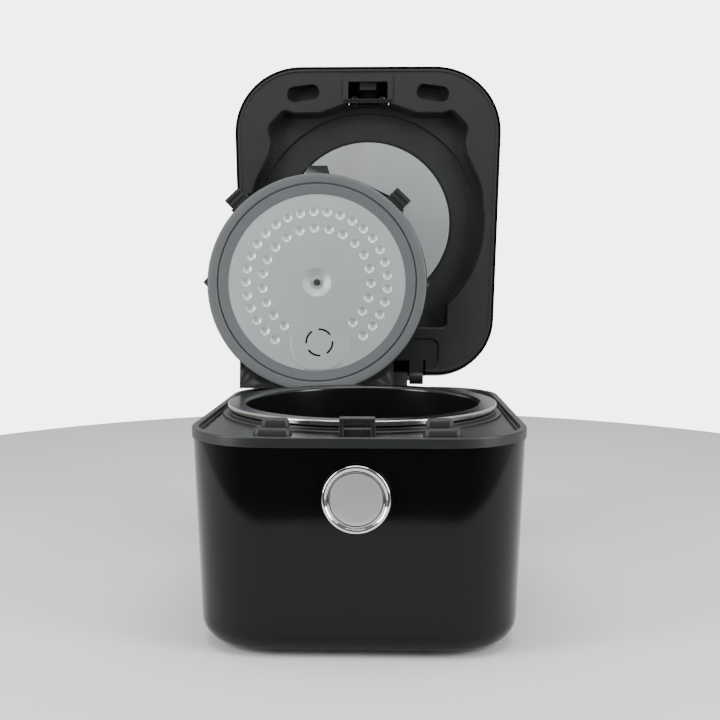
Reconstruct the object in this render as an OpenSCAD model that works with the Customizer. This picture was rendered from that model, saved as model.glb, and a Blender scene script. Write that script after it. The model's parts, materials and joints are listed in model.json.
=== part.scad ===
// Electric pressure cooker with a hinged lid, shown open, its inner lid taken off and stood behind the pot.
// Millimetres, +Z up, the front towards -Y. The origin is under the pot's axis, where the feet stand.
// Lid parts are drawn closed, in place over the pot, and then turned open about the hinge pin.

/* [Body] */
// Width across the front half of the body
body_w = 290; // [260:1:340]
// Width across the back of the body, which narrows a little
back_w = 273; // [245:1:325]
// Depth from front to back
body_d = 337.5; // [320:0.5:390]
// Height of the body from its underside to the top of its rim
body_h = 186; // [165:1:230]
// Radius of the front corners in plan
front_r = 72; // [50:1:90]
// Radius of the back corners in plan
back_r = 62; // [45:1:80]
// Radius where the walls turn into the underside
base_r = 20; // [12:1:28]
// How far each wall comes in from the rim to the underside
wall_lean = 6; // [0:0.5:10]
// Thickness of the moulded walls
wall = 2.5; // [2:0.1:3.5]
// How far the feet stand out below the body
foot_h = 3; // [2:0.5:6]
// Diameter of each foot
foot_d = 26; // [16:1:34]

/* [Deck] */
// Height of the rim band round the top of the body
rim_h = 8.5; // [6:0.5:14]
// How far the rim band stands out from the wall under it
rim_step = 1.2; // [0.5:0.1:3]
// Width of the raised lip round the deck
lip_w = 7; // [5:0.5:9]
// Depth of the deck's floor below the lip
deck_drop = 3.5; // [2:0.5:5]
// Width of the drain groove along each side
groove_w = 4; // [3:0.5:5]
// Radius of the outer step round the pot
step_r = 131; // [129:0.5:134]

/* [Pot] */
// Radius of the pot's mouth
pot_r = 109; // [95:0.5:110]
// Radius of the pot's flange
flange_r = 126.5; // [122:0.5:128]
// Depth of the pot inside
pot_depth = 135; // [110:1:150]
// Thickness of the pot's wall
pot_wall = 2; // [1.5:0.1:3]
// Radius where the pot's wall meets its floor
pot_corner = 34; // [20:1:45]
// Height of the flange's top above the rim
flange_up = 7.4; // [6:0.1:9]
// Depth of the turned-down edge of the flange
flange_edge = 4.5; // [3.5:0.1:5.5]

/* [Lid] */
// Thickness of the closed lid
lid_h = 45; // [40:1:60]
// Gap between the closed lid and the rim
lid_gap = 1; // [0.6:0.1:2]
// Radius of the lid's top edge
lid_edge_r = 18; // [10:1:22]
// Angle of the open lid from closed
lid_open = 98.9; // [80:0.1:105]
// Radius of the lid's recess at its mouth
recess_r = 129.5; // [128:0.5:132]
// Radius of the recess at its floor
recess_floor_r = 122; // [119:0.5:124]
// Depth of the recess
recess_depth = 22; // [20:0.5:26]
// Radius of the metal disc in the recess
disc_r = 89.7; // [70:0.1:95]

/* [Hinge] */
// Distance of the hinge pin behind the back of the rim
hinge_back = 2.75; // [2:0.25:5]
// Height of the hinge pin above the rim
hinge_up = 9; // [8.5:0.5:12]
// Radius of the hinge pin
pin_r = 3; // [2.5:0.1:3.5]
// Radius of the hinge barrels
barrel_r = 7; // [6:0.1:7.5]
// Half the width of the body's hinge housing
housing_half = 44; // [36:1:48]
// Width of each lid knuckle
knuckle_w = 15; // [10:1:16]

/* [Inner lid] */
// Outer radius of the gasket
gasket_r = 116; // [114:0.5:117]
// Radius of the metal plate that shows inside the gasket
plate_r = 94; // [85:0.5:96]
// Thickness of the inner lid over its frame and gasket
inner_h = 12; // [11:0.5:13]
// Angle of the two catches from the middle of the front
catch_a = 44.3; // [38:0.1:50]
// Radius of the circle through the steam vent's slots
vent_r = 13.9; // [10:0.1:16]
// Distance of the steam vent from the centre
vent_out = 64; // [50:0.5:66]
// How far the plate is turned in its frame, in degrees
plate_turn = 2.8; // [0:0.1:4]
// How far the inner lid stands to the left of its seat
stand_left = 52.4; // [30:0.1:60]
// How far the inner lid stands below its seat, along the open lid
stand_down = 72; // [60:0.1:76]
// How far the inner lid stands out from its seat
stand_out = 42; // [40:0.1:44]

/* [Dial] */
// Radius of the dial ring
dial_r = 28.3; // [22:0.1:34]
// Radius of the dial's push button
dial_button_r = 21.6; // [15:0.1:27]
// Depth of the dial's axis below the rim
dial_down = 50.2; // [42:0.1:70]
// Travel of the push button
dial_press = 1.2; // [0.8:0.1:1.4]

/* [Latch] */
// Width of the striker on the deck
striker_w = 30; // [26:1:34]
// Height of the striker above the rim
striker_up = 13; // [12:0.5:14]
// Distance of the striker's middle from the front of the rim
striker_back = 26.2; // [25:0.1:28]
// Travel of the latch slide
latch_travel = 5; // [4.7:0.1:5.2]

/* [Hidden] */
$fn = 96;
tiny = 0.01;
fit = 0.1;        // sliding and locating clearance between moulded parts
running = 0.05;   // radial clearance of a pin in its bore
air = 0.3;        // gap between parts that meet without touching

rim_z = foot_h + body_h;
rim_low = rim_z - rim_h;
floor_z = rim_z - deck_drop;
deck_plate = 2.5;
front_y = -body_d / 2;
back_y = body_d / 2;
lid_z = rim_z + lid_gap;
lid_top = lid_z + lid_h;
hinge_y = back_y + hinge_back;
hinge_z = rim_z + hinge_up;

flange_z = rim_z + flange_up;
flange_t = 2;
pot_floor_z = flange_z - pot_depth;
heater_z = pot_floor_z - pot_wall - air;
heater_r = 88;
heater_t = 12;
well_r = pot_r + pot_wall + 3.5;
well_t = 1.2;
well_z = heater_z - heater_t - 12;
well_top = floor_z - deck_plate - 6;
mouth_r = well_r + well_t + 1.8;
step_in_r = step_r - 5;
step_h = 2.5;
step_in_h = 4.9;

dial_z = rim_z - dial_down;
dial_wall_y = front_y + rim_step + dial_down * wall_lean / body_h;
dial_seat_y = dial_wall_y - dial_r * wall_lean / body_h - 0.5;
dial_front_y = dial_seat_y - 6.5;
dial_web = 1.3;
hub_r = 8;
stem_r = 4.4;
encoder_y = dial_seat_y + 12;
board_y = encoder_y + 7;

post_x = 70;
post_y = -126;
striker_y = front_y + striker_back;
striker_d = 12;
striker_top = rim_z + striker_up;
bar_h = 3.5;
window_half = 11.5;
window_low = 9.5;
slot_half = 21.5;
slot_d = 19.2;
latch_z = striker_top - 8;
latch_t = 3.5;
latch_half = 9;
shelf_z = striker_top + 7;
button_y = striker_y + 5;
button_half = 22;
button_d = 15;
button_press = latch_travel;

recess_z = lid_z + recess_depth;
recess_flat = 118.3;
tab_half = 87.2;
notch_half = 20;
notch_y = -(gasket_r + 11.5);
stop_gap = 1.2;
roof_r = flange_r + 3;
roof_h = 9.5;
cutout_half = housing_half + knuckle_w + 4.5;
cutout_y = hinge_y - 18.8;
cutout_h = 20;
hinge_pad_half = 78;

seat_z = flange_z + air;
frame_z = seat_z + 4.3;
inner_top = seat_z + inner_h;
frame_in_r = plate_r + 2;
plate_z = seat_z + 2.6;
plate_t = 0.9;
catch_r = 114;
catch_w = 20;
catch_l = 22;
catch_travel = 3;
boss_r = 2.4;
steam_y = vent_out;
steam_r = 20;

// The removed inner lid is tipped about a line by its rear edge, which moves straight on meanwhile.
tip_y = 133;
tip_z = 186;
tip_rest_y = hinge_y + (tip_y + stand_down - hinge_y) * cos(lid_open) + (tip_z - stand_out - hinge_z) * sin(lid_open);
tip_rest_z = hinge_z - (tip_y + stand_down - hinge_y) * sin(lid_open) + (tip_z - stand_out - hinge_z) * cos(lid_open);
// Where the dowel that stands for the hand is hidden while the lid is closed, and its size
carry_at = [104, -113, 88];
carry_r = 2;
carry_l = 8;

// ---- shared shapes ----

function corner_list() = [
    [-(body_w / 2 - front_r), front_y + front_r, front_r],
    [body_w / 2 - front_r, front_y + front_r, front_r],
    [-(back_w / 2 - back_r), back_y - back_r, back_r],
    [back_w / 2 - back_r, back_y - back_r, back_r]];

// Outline of the rim in plan, brought in by a given amount
module plan(inset = 0) {
    hull() for (c = corner_list()) translate([c[0], c[1]]) circle(c[2] - inset);
}

module ring_at(outer, inner, z0, z1) {
    translate([0, 0, z0]) linear_extrude(z1 - z0) difference() {
        circle(outer);
        circle(inner);
    }
}

// A ring of round section under the rounded edge of a housing
module edge_ring(corner, inset, r) {
    rotate_extrude($fn = 56) translate([corner - inset - r, 0]) circle(r, $fn = 40);
}

// The body's form: upright corners that lean in and turn under
module body_form(thick = 0) {
    inset = rim_step + wall_lean + thick;
    r = base_r - thick;
    hull() {
        translate([0, 0, rim_low - 1]) linear_extrude(1) plan(rim_step + thick);
        for (c = corner_list())
            translate([c[0], c[1], foot_h + base_r]) edge_ring(c[2] + thick, inset + thick, r);
    }
}

// The lid's form: upright at its rim with a rounded top edge
module lid_form(thick = 0) {
    r = lid_edge_r - thick;
    hull() {
        translate([0, 0, lid_z]) linear_extrude(1) plan(thick);
        for (c = corner_list())
            translate([c[0], c[1], lid_top - lid_edge_r]) edge_ring(c[2] + thick, 2 * thick, r);
    }
}

module slot2d(length, width) {
    square([length - width, width], center = true);
    for (s = [-1, 1]) translate([s * (length - width) / 2, 0]) circle(width / 2);
}

module round_rect(w, d, r) {
    square([w - 2 * r, d], center = true);
    square([w, d - 2 * r], center = true);
    for (x = [-1, 1], y = [-1, 1]) translate([x * (w / 2 - r), y * (d / 2 - r)]) circle(r);
}

// A closed coil drawn as level turns joined by a thin strip, standing on z = 0
module coil(r, wire, height, turns) {
    pitch = (height - wire) / (turns - 1);
    for (i = [0 : turns - 1])
        translate([0, 0, wire / 2 + i * pitch]) rotate_extrude() translate([r, 0]) circle(wire / 2, $fn = 24);
    translate([r - wire / 4, -wire / 4, wire / 2]) cube([wire / 2, wire / 2, height - wire]);
}

// Turns what is drawn closed to where the open lid holds it
module opened() {
    translate([0, hinge_y, hinge_z]) rotate([-lid_open, 0, 0]) translate([0, -hinge_y, -hinge_z]) children();
}

// Moves what is drawn seated in the lid to where the removed inner lid stands
module removed() {
    opened() translate([-stand_left, stand_down, -stand_out]) children();
}

// Along the hinge pin, from one side to the other
module along_x(x0, x1, r) {
    translate([x0, 0, 0]) rotate([0, 90, 0]) cylinder(r = r, h = x1 - x0);
}

module along_y(y0, y1, r) {
    translate([0, y0, 0]) rotate([-90, 0, 0]) cylinder(r = r, h = y1 - y0);
}

// ---- body ----

inlet_x = 68;
inlet_z = foot_h + 42;
inlet_w = 27;
inlet_h = 20;
inlet_wall_y = back_y - rim_step - (rim_z - inlet_z) * wall_lean / body_h;
foot_x = body_w / 2 - front_r;
base_hole = 3;

module outer_body() color([0.03, 0.03, 0.035]) {
    difference() {
        body_form();
        body_form(wall);
        translate([0, 0, rim_low - tiny]) linear_extrude(1) plan(0);
        // opening that the base plate closes
        translate([0, 0, foot_h - tiny]) linear_extrude(wall + 1) plan(base_r + wall_lean + 8);
        translate([0, 0, dial_z]) along_y(front_y - 1, front_y + 20, dial_r + 1 + fit);
        translate([inlet_x, back_y, inlet_z]) cube([inlet_w + 2 * fit, 40, inlet_h + 2 * fit], center = true);
    }
}

module base_plate() color([0.1, 0.1, 0.1]) {
    inset = base_r + wall_lean + 8;
    translate([0, 0, foot_h]) difference() {
        union() {
            linear_extrude(wall) plan(inset + fit);
            translate([0, 0, wall]) linear_extrude(2) plan(inset - 5);
        }
        for (a = [0 : 20 : 340]) rotate(a) translate([48, 0, -1]) linear_extrude(8) slot2d(24, base_hole);
        for (p = foot_list()) translate([p[0], p[1], -tiny]) cylinder(r = foot_d / 2 + fit, h = 1.5);
        for (p = screw_list()) translate([p[0], p[1], -1]) cylinder(r = 1.7, h = 10);
    }
}

function foot_list() = [for (x = [-1, 1], y = [-1, 1]) [x * (body_w / 2 - front_r + 8), y * (body_d / 2 - front_r + 10)]];
function screw_list() = [for (x = [-1, 1], y = [-1, 1]) [x * (body_w / 2 - front_r + 8), y * 40]];

module feet() color([0.06, 0.06, 0.06]) {
    for (p = foot_list()) translate([p[0], p[1], 0]) {
        cylinder(r1 = foot_d / 2 - 1, r2 = foot_d / 2, h = 1.2);
        translate([0, 0, 1.2]) cylinder(r = foot_d / 2, h = foot_h + 1.5 - 1.2 - tiny);
    }
}

module base_screws() color([0.6, 0.6, 0.62]) {
    for (p = screw_list()) translate([p[0], p[1], foot_h - 1.6]) difference() {
        union() {
            cylinder(r = 3, h = 1.6);
            cylinder(r = 1.6, h = 10);
        }
        for (a = [0, 90]) rotate(a) cube([3.6, 0.8, 1.6], center = true);
    }
}

module groove(side) {
    front = [side * (body_w / 2 - lip_w - groove_w / 2 - 1.5), -104];
    back = [side * (body_w / 2 - lip_w - groove_w / 2 - 8), 98];
    hull() for (p = [front, back]) translate([p[0], p[1], floor_z - 1.5]) cylinder(r = groove_w / 2, h = 20, $fn = 32);
}

module deck() color([0.09, 0.09, 0.095]) {
    difference() {
        union() {
            translate([0, 0, rim_low]) linear_extrude(rim_h) plan(0);
            translate([0, 0, rim_low - 4]) linear_extrude(5) difference() {
                plan(rim_step + wall + air);
                plan(rim_step + wall + air + 2);
            }
            ring_at(mouth_r + 2.5, mouth_r, well_top - 2, floor_z);
        }
        // recessed floor inside the lip
        translate([0, 0, floor_z]) linear_extrude(20) plan(lip_w);
        // hollow underside
        difference() {
            translate([0, 0, rim_low - tiny]) linear_extrude(rim_h - deck_drop - deck_plate) plan(rim_step + wall + air + 2);
            translate([0, 0, well_top - 3]) cylinder(r = mouth_r + 2.5, h = 40);
        }
        translate([0, 0, well_top - 4]) cylinder(r = mouth_r, h = 40);
        for (side = [-1, 1]) groove(side);
        // gap in the lip for the hinge housing
        translate([-housing_half - air, cutout_y + 3, floor_z]) cube([2 * (housing_half + air), 60, 20]);
        // socket that the striker stands in
        translate([-striker_w / 2 - fit, striker_y - striker_d / 2 - fit, floor_z - 1.5])
            cube([striker_w + 2 * fit, striker_d + 2 * fit, 20]);
    }
    ring_at(step_r, mouth_r, floor_z - tiny, floor_z + step_h);
    ring_at(step_in_r, mouth_r, floor_z, floor_z + step_in_h);
    for (s = [-1, 1]) translate([s * 33, striker_y - 4, floor_z - tiny])
        linear_extrude(1.2) round_rect(30, 14, 2);
}

module pot_well() color([0.62, 0.63, 0.64]) {
    ring_at(well_r + well_t, well_r, well_z, well_top);
    ring_at(mouth_r + 1.5, well_r, well_top - 3.5, well_top - 2.3);
    difference() {
        translate([0, 0, well_z]) cylinder(r = well_r, h = well_t);
        translate([0, 0, well_z - 1]) cylinder(r = 20, h = 5);
        for (a = [0 : 120 : 240]) rotate(a) translate([60, 0, well_z - 1]) cylinder(r = 3, h = 5);
    }
}

module heating_plate() color([0.7, 0.7, 0.7]) {
    difference() {
        union() {
            translate([0, 0, heater_z - heater_t]) cylinder(r = heater_r, h = heater_t - 2);
            translate([0, 0, heater_z - 2]) cylinder(r1 = heater_r, r2 = heater_r - 6, h = 2);
        }
        translate([0, 0, heater_z - heater_t - 1]) cylinder(r = 17, h = heater_t + 2);
        for (a = [0 : 120 : 240]) rotate(a) translate([60, 0, heater_z - heater_t - 1]) cylinder(r = 2, h = 8);
        // groove of the sheathed heating element on the underside
        translate([0, 0, heater_z - heater_t]) rotate_extrude() translate([72, 0]) circle(3);
    }
}

module heater_posts() color([0.75, 0.75, 0.76]) {
    for (a = [0 : 120 : 240]) rotate(a) translate([60, 0, 0]) {
        translate([0, 0, foot_h + wall + 2]) cylinder(r = 5, h = well_z - foot_h - wall - 2);
        translate([0, 0, well_z - tiny]) cylinder(r = 2.9, h = heater_z - heater_t - well_z + tiny);
        translate([0, 0, heater_z - heater_t - tiny]) cylinder(r = 2 - running, h = 6);
    }
}

sensor_r = 14.5;

module sensor_tube() color([0.75, 0.75, 0.74]) {
    ring_at(16.5, 15.2, well_z - 6, heater_z - 4);
    ring_at(19.5, 16.5, well_z - 6, well_z - 4.8);
    ring_at(16.5, 4, well_z - 6, well_z - 4.8);
    ring_at(22, 15.2, well_z - 1.2, well_z);
}

module sensor_spring() color([0.7, 0.7, 0.7])
    translate([0, 0, well_z - 4.8]) coil(9, 1.2, heater_z - 3 - (well_z - 4.8), 6);

module sensor_cap() color([0.8, 0.8, 0.8]) {
    difference() {
        translate([0, 0, heater_z - 9]) cylinder(r = sensor_r, h = 9);
        translate([0, 0, heater_z - 9 - tiny]) cylinder(r = sensor_r - 1, h = 6 + tiny);
    }
    translate([0, 0, well_z - 2]) cylinder(r = 2.5, h = heater_z - 3 - well_z + 2 + tiny);
}

board_w = 110;
board_top = foot_h + 120;
board_low = foot_h + 24;
power_y = mouth_r + 18;

module power_board() color([0.1, 0.35, 0.2]) {
    translate([-board_w / 2 - 10, power_y, board_low]) cube([board_w, 1.6, board_top - board_low]);
}

module power_parts() color([0.2, 0.2, 0.22]) {
    translate([-50, power_y - 12, board_low + 12]) cube([28, 12, 24]);
    translate([-50, power_y - 10, board_low + 50]) cube([19, 10, 15]);
    translate([-22, power_y - 10, board_low + 50]) cube([19, 10, 15]);
    translate([22, 0, board_low + 20]) along_y(power_y - 14, power_y, 8);
    translate([22, 0, board_low + 48]) along_y(power_y - 12, power_y, 5);
    for (i = [0 : 3]) translate([-40 + 9 * i, 0, board_low + 82]) along_y(power_y - 4, power_y, 3);
}

module control_board() color([0.1, 0.3, 0.2]) {
    difference() {
        translate([-45, board_y, dial_z - 38]) cube([90, 1.6, 66]);
        for (x = [-40, 40], z = [-33, 23]) translate([x, 0, dial_z + z]) along_y(board_y - 1, board_y + 3, 1.6);
    }
}

module push_switch() color([0.15, 0.15, 0.15])
    translate([0, 0, dial_z]) {
        translate([-3, board_y - 4, -3]) cube([6, 4, 6]);
        along_y(board_y - 5.2, board_y - 4 + tiny, 1.7);
    }

module encoder() color([0.25, 0.3, 0.3]) {
    translate([0, 0, dial_z]) difference() {
        translate([-13, encoder_y, -13]) cube([26, board_y - encoder_y, 26]);
        along_y(encoder_y - 1, board_y + 1, hub_r + running);
    }
}

module dial_seat() color([0.02, 0.02, 0.02]) {
    translate([0, 0, dial_z]) difference() {
        union() {
            along_y(dial_seat_y, dial_seat_y + 9, dial_r + 1);
            along_y(dial_wall_y + wall + 3, dial_seat_y + 9, dial_r + 1);
        }
        along_y(dial_seat_y - 1, dial_seat_y + 20, hub_r + running);
        along_y(dial_seat_y + 3, dial_seat_y + 20, dial_r - 1.5);
        along_y(dial_seat_y - 1, dial_seat_y + 0.8, dial_r + air);
    }
    translate([0, 0, dial_z]) difference() {
        along_y(dial_seat_y + 3 - tiny, dial_seat_y + 10, hub_r + 3);
        along_y(dial_seat_y - 1, dial_seat_y + 20, hub_r + running);
    }
}

module dial_ring() color([0.82, 0.82, 0.83]) {
    gap = 0.8;
    translate([0, 0, dial_z]) difference() {
        union() {
            along_y(dial_front_y + 0.8, dial_seat_y + 0.5, dial_r);
            along_y(dial_front_y, dial_front_y + 0.8 + tiny, dial_r - 1.2);
            along_y(dial_seat_y, board_y - 0.6, hub_r);
        }
        along_y(dial_front_y - 1, dial_seat_y + 0.5 - dial_web, dial_button_r + gap);
        along_y(dial_front_y - 1, dial_front_y + 1.4, dial_button_r + gap + 2.2);
        along_y(dial_front_y - 1, board_y + 2, stem_r + running);
    }
}

module dial_button() color([0.6, 0.6, 0.59]) {
    face = dial_front_y + 1.2;
    translate([0, 0, dial_z]) {
        along_y(face, dial_seat_y + 0.5 - dial_web - dial_press - 0.2, dial_button_r);
        along_y(face + 1, board_y - 5.2 - dial_press - 0.1, stem_r);
    }
}

module inlet_socket() color([0.04, 0.04, 0.04]) {
    y1 = inlet_wall_y + 2;
    translate([inlet_x, 0, inlet_z]) difference() {
        union() {
            translate([-inlet_w / 2, y1 - 24, -inlet_h / 2]) cube([inlet_w, 24, inlet_h]);
            translate([-inlet_w / 2 - 4, inlet_wall_y + 0.7, -inlet_h / 2 - 4]) cube([inlet_w + 8, 2.5, inlet_h + 8]);
        }
        translate([-inlet_w / 2 + 1.5, y1 - 17, -inlet_h / 2 + 1.5]) cube([inlet_w - 3, 30, inlet_h - 3]);
    }
}

module inlet_pins() color([0.8, 0.7, 0.4]) {
    y1 = inlet_wall_y + 2;
    for (p = [[-7, -2], [0, 2], [7, -2]])
        translate([inlet_x + p[0] - 1, y1 - 17, inlet_z + p[1] - 2]) cube([2, 14, 4]);
}

module striker() color([0.08, 0.08, 0.085]) {
    low = floor_z - 1.5 + tiny;
    translate([0, striker_y, 0]) difference() {
        translate([-striker_w / 2, -striker_d / 2, low]) cube([striker_w, striker_d, striker_top - low]);
        translate([-window_half, -striker_d, striker_top - window_low]) cube([2 * window_half, 2 * striker_d, window_low - bar_h]);
        // the block under the window stands back from the frame
        translate([-window_half, -striker_d / 2 - 1, floor_z]) cube([2 * window_half, 3, striker_top - window_low - floor_z + 1]);
    }
}

stop_w = 33;
stop_d = 15;
stop_h = 8.5;
cap_w = 24;
cap_d = 10.5;
cap_h = 8;
stop_top = floor_z + stop_h + cap_h;

module stop_shape(w, d, h) {
    hull() {
        linear_extrude(h * 0.45) round_rect(w, d, d / 2 - 0.5, $fn = 32);
        translate([0, 0, h - tiny]) linear_extrude(tiny) round_rect(w * 0.72, d * 0.6, d * 0.29, $fn = 32);
    }
}

module lid_stops() color([0.07, 0.07, 0.075])
    for (s = [-1, 1]) translate([s * (post_x + 1), post_y - 14, floor_z])
        rotate(s * 8) stop_shape(stop_w, stop_d, stop_h);

module stop_caps() color([0.09, 0.09, 0.095])
    for (s = [-1, 1]) translate([s * (post_x - 1.5), post_y - 13, floor_z + stop_h])
        rotate(s * 8) stop_shape(cap_w, cap_d, cap_h);

// Plan of both stops, grown, for the pockets that take them
module stop_plan(grow) {
    for (s = [-1, 1]) translate([s * (post_x + 1), post_y - 14])
        rotate(s * 8) round_rect(stop_w + 2 * grow, stop_d + 2 * grow, stop_d / 2 - 0.5 + grow, $fn = 32);
}

// Outline of the hinge housing: it stands on the deck and hooks over the back of the rim
module housing_outline(skin = 0) {
    front = cutout_y + 3.5 + skin;
    back = hinge_y + barrel_r - skin;
    polygon([[front, floor_z + 0.1 - 2 * skin], [front, floor_z + 6],
        [hinge_y - 4, hinge_z + barrel_r * 0.8 - skin], [back, hinge_z], [back, rim_z - 14],
        [hinge_y, rim_z - 21 + skin], [back_y + air + skin, rim_z - 19],
        [back_y + air + skin, floor_z + 0.1 - 2 * skin]]);
}

module housing_form(half, skin = 0) {
    across(-half, half) housing_outline(skin);
    translate([0, hinge_y, hinge_z]) along_x(-half, half, barrel_r - skin);
}

// Stands a y-z outline across the hinge, from one x to another
module across(x0, x1) {
    translate([x0, 0, 0]) rotate([90, 0, 90]) linear_extrude(x1 - x0) children();
}

module hinge_housing() color([0.08, 0.08, 0.085]) {
    difference() {
        housing_form(housing_half);
        // hollow, open below, with a rib in the middle
        difference() {
            housing_form(housing_half - 3, 2);
            translate([-3, hinge_y - 40, rim_z - 40]) cube([6, 80, 80]);
        }
        translate([0, hinge_y, hinge_z]) along_x(-housing_half - 1, housing_half + 1, pin_r + running);
    }
}

module hinge_pin() color([0.7, 0.7, 0.72])
    translate([0, hinge_y, hinge_z]) along_x(-housing_half - knuckle_w - 2, housing_half + knuckle_w + 2, pin_r);

module lid_springs() color([0.55, 0.55, 0.57])
    for (s = [-1, 1]) translate([s * 8, hinge_y, hinge_z]) rotate([0, s * 90, 0])
        coil(pin_r + 1.1, 1.4, 30, 12);

// ---- pot ----

module cup(r, depth, corner) {
    difference() {
        union() {
            translate([0, corner]) square([r, depth - corner]);
            square([r - corner, corner + 1]);
            translate([r - corner, corner]) circle(corner);
        }
        translate([-r, -1]) square([r, depth + 2]);
    }
}

module pot() color([0.05, 0.05, 0.055]) {
    translate([0, 0, pot_floor_z]) rotate_extrude() difference() {
        union() {
            translate([0, -pot_wall]) cup(pot_r + pot_wall, pot_depth + pot_wall - 1, pot_corner + pot_wall);
            translate([0, pot_depth - flange_t]) square([flange_r, flange_t]);
            translate([flange_r - 1.6, pot_depth - flange_edge]) square([1.6, flange_edge - 1]);
        }
        cup(pot_r, pot_depth + 1, pot_corner);
        translate([pot_r - 1, pot_depth]) rotate(45) square(2.8, center = true);
    }
}

// ---- lid ----

// The wavy outline of the recess's mouth without its round middle
module recess_ears(grow = 0) {
    for (s = [-1, 1]) rotate(s * catch_a) translate([0, -(recess_r + 6)])
        round_rect(32 + 2 * grow, 36 + 2 * grow, 7 + grow);
    translate([0, recess_flat / 2 + 25 + grow / 2]) square([2 * tab_half + 2 * grow, recess_flat - 50 + grow], center = true);
}

module below_flat(grow = 0) {
    translate([0, recess_flat + grow - 200]) square([400, 400], center = true);
}

module recess_cut() {
    intersection() {
        union() {
            translate([0, 0, lid_z]) cylinder(r1 = recess_r, r2 = recess_floor_r, h = recess_depth);
            translate([0, 0, lid_z - 2]) cylinder(r = recess_r, h = 2 + tiny);
        }
        translate([0, 0, lid_z - 2]) linear_extrude(recess_depth + 4) below_flat();
    }
    translate([0, 0, lid_z - 2]) linear_extrude(recess_depth + 2 - 3) recess_ears();
}

module lid_liner() color([0.085, 0.085, 0.09]) {
    skin = 2.2;
    difference() {
        union() {
            translate([0, 0, lid_z]) linear_extrude(skin) plan(wall + fit);
            intersection() {
                translate([0, 0, lid_z]) cylinder(r1 = recess_r + skin, r2 = recess_floor_r + skin, h = recess_depth + skin);
                translate([0, 0, lid_z]) linear_extrude(60) below_flat(skin);
            }
            intersection() {
                translate([0, 0, lid_z]) linear_extrude(recess_depth - 3 + skin) recess_ears(skin);
                translate([0, 0, lid_z]) linear_extrude(recess_depth) plan(wall + fit);
            }
            // roof over the pot's flange towards the hinge
            intersection() {
                translate([0, 0, lid_z]) cylinder(r = roof_r, h = roof_h);
                translate([-tab_half, recess_flat - skin, lid_z]) cube([2 * tab_half, 30, roof_h]);
            }
            // wall round the notch for the inner lid's tab
            translate([-notch_half - skin, notch_y - skin, lid_z])
                cube([2 * (notch_half + skin), 20, inner_top - lid_z + skin]);
            // walls of the pockets for the stops
            translate([0, 0, lid_z]) linear_extrude(stop_top + stop_gap + skin - lid_z) stop_plan(stop_gap + skin);
            // pocket over the striker
            translate([-slot_half - skin, striker_y - slot_d / 2 - skin, lid_z])
                cube([2 * (slot_half + skin), slot_d + 2 * skin - 1, striker_top + 4 + skin - lid_z]);
            // frame round the pocket's mouth
            translate([-slot_half - 5.5, striker_y - slot_d / 2 - 5.5, lid_z - 0.8])
                cube([2 * (slot_half + 5.5), slot_d + 8, 3]);
        }
        recess_cut();
        translate([0, 0, lid_z - 1]) cylinder(r = flange_r + stop_gap, h = flange_z + air - lid_z + 1.5);
        translate([-notch_half, notch_y, lid_z - 2]) cube([2 * notch_half, 20, inner_top - lid_z + 2]);
        translate([0, 0, lid_z - 1]) linear_extrude(stop_top + stop_gap - lid_z + 1) stop_plan(stop_gap);
        translate([-slot_half, striker_y - slot_d / 2, lid_z - 5]) cube([2 * slot_half, slot_d, striker_top + 4 - lid_z + 5]);
        // hole that the latch slide comes through
        translate([-latch_half - fit, striker_y - slot_d, latch_z - fit]) cube([2 * (latch_half + fit), slot_d, latch_t + 2 * fit]);
        // gap for the hinge
        translate([-cutout_half, cutout_y, lid_z - 5]) cube([2 * cutout_half, 60, 60]);
        // shallow sunk panel round the hinge
        translate([-hinge_pad_half, recess_flat + 12, lid_z - 1]) cube([2 * hinge_pad_half, 60, 1.9]);
        // well round the metal disc
        translate([0, 0, recess_z - 1]) cylinder(r = disc_r + 2.5, h = 2);
        translate([0, steam_y, lid_z]) cylinder(r = steam_r - 4 + fit, h = 60);
        for (a = [0 : 60 : 300]) rotate(a) translate([disc_r - 8, 0, lid_z]) cylinder(r = boss_r + fit, h = 60);
        for (x = [-1, 1]) translate([x * 30, cutout_y - 8, lid_z - 1]) cylinder(r = 1.6, h = 10);
    }
}

module lid_cover() color([0.03, 0.03, 0.035]) {
    difference() {
        lid_form();
        difference() {
            lid_form(wall);
            translate([0, 0, lid_top - wall]) linear_extrude(wall + 1) plan(0);
        }
        translate([0, 0, lid_z - tiny]) linear_extrude(2) plan(wall);
        translate([-cutout_half, cutout_y, lid_z - 5]) cube([2 * cutout_half, 60, cutout_h + 5]);
        translate([0, button_y, lid_top - 10]) linear_extrude(20) round_rect(2 * (button_half + air), button_d + 2 * air, 5);
        translate([0, steam_y, lid_top - 10]) cylinder(r = steam_r + 6 + air, h = 20);
    }
}

module lid_disc() color([0.78, 0.79, 0.8])
    difference() {
        union() {
            translate([0, 0, recess_z - 1]) cylinder(r = disc_r, h = 1 - tiny);
            // blind bosses behind the disc that its screws hold
            for (a = [0 : 60 : 300]) rotate(a) translate([disc_r - 8, 0, recess_z - 0.2]) cylinder(r = boss_r, h = 2.4);
        }
        translate([0, steam_y, recess_z - 2]) cylinder(r = steam_r - 4 + fit, h = 4);
        for (a = [0 : 60 : 300]) rotate(a) translate([disc_r - 8, 0, recess_z]) cylinder(r = 1.5 + running, h = 5);
    }

module disc_screws() color([0.7, 0.7, 0.72])
    for (a = [0 : 60 : 300]) rotate(a) translate([disc_r - 8, 0, recess_z + 2.2]) {
        translate([0, 0, tiny]) cylinder(r = boss_r + 1.2, h = 1.8);
        translate([0, 0, -2]) cylinder(r = 1.5, h = 2.1);
    }

bracket_t = 3;
bracket_z = lid_z + 2.2 + fit;

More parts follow.
